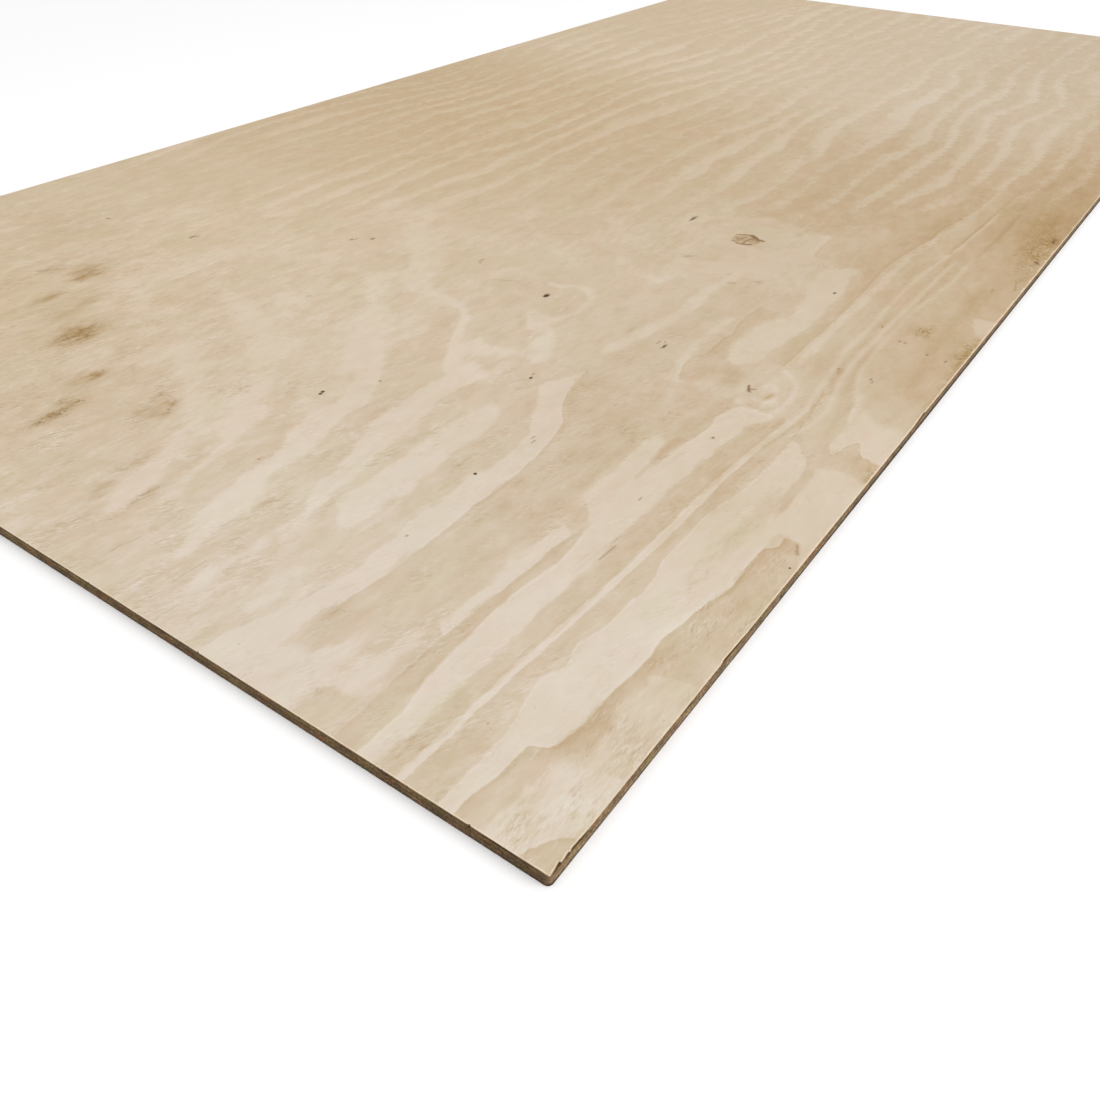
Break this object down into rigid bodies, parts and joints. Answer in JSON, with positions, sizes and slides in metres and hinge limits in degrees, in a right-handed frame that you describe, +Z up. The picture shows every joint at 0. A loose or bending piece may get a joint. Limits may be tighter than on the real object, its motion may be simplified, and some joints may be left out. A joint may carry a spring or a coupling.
{
  "type": "plywood sheet",
  "caption": "Flat rectangular sheet of pine sheathing plywood: rotary-cut face and back veneers over crossed core plies, with sawn edges.",
  "frame": {"origin": "under the middle of the sheet, on the level that its back veneer lies on", "axes": "+Y along the 8 ft length, which is the grain of the face and back; +X along the 4 ft width, which is the grain of the core plies; +Z up, out of the face"},
  "size_m": [1.219, 2.438, 0.0119],
  "materials": {
    "face_veneer": "bare rotary-cut pine, matt, lightly weathered",
    "upper_core_ply": "rough sawn end grain at the long edges",
    "lower_core_ply": "rough sawn end grain at the long edges",
    "back_veneer": "bare rotary-cut pine, matt, rougher than the face"
  },
  "bodies": {
    "root": {"face_veneer": "face_veneer", "upper_core_ply": "upper_core_ply", "lower_core_ply": "lower_core_ply", "back_veneer": "back_veneer"}
  },
  "joints": []
}
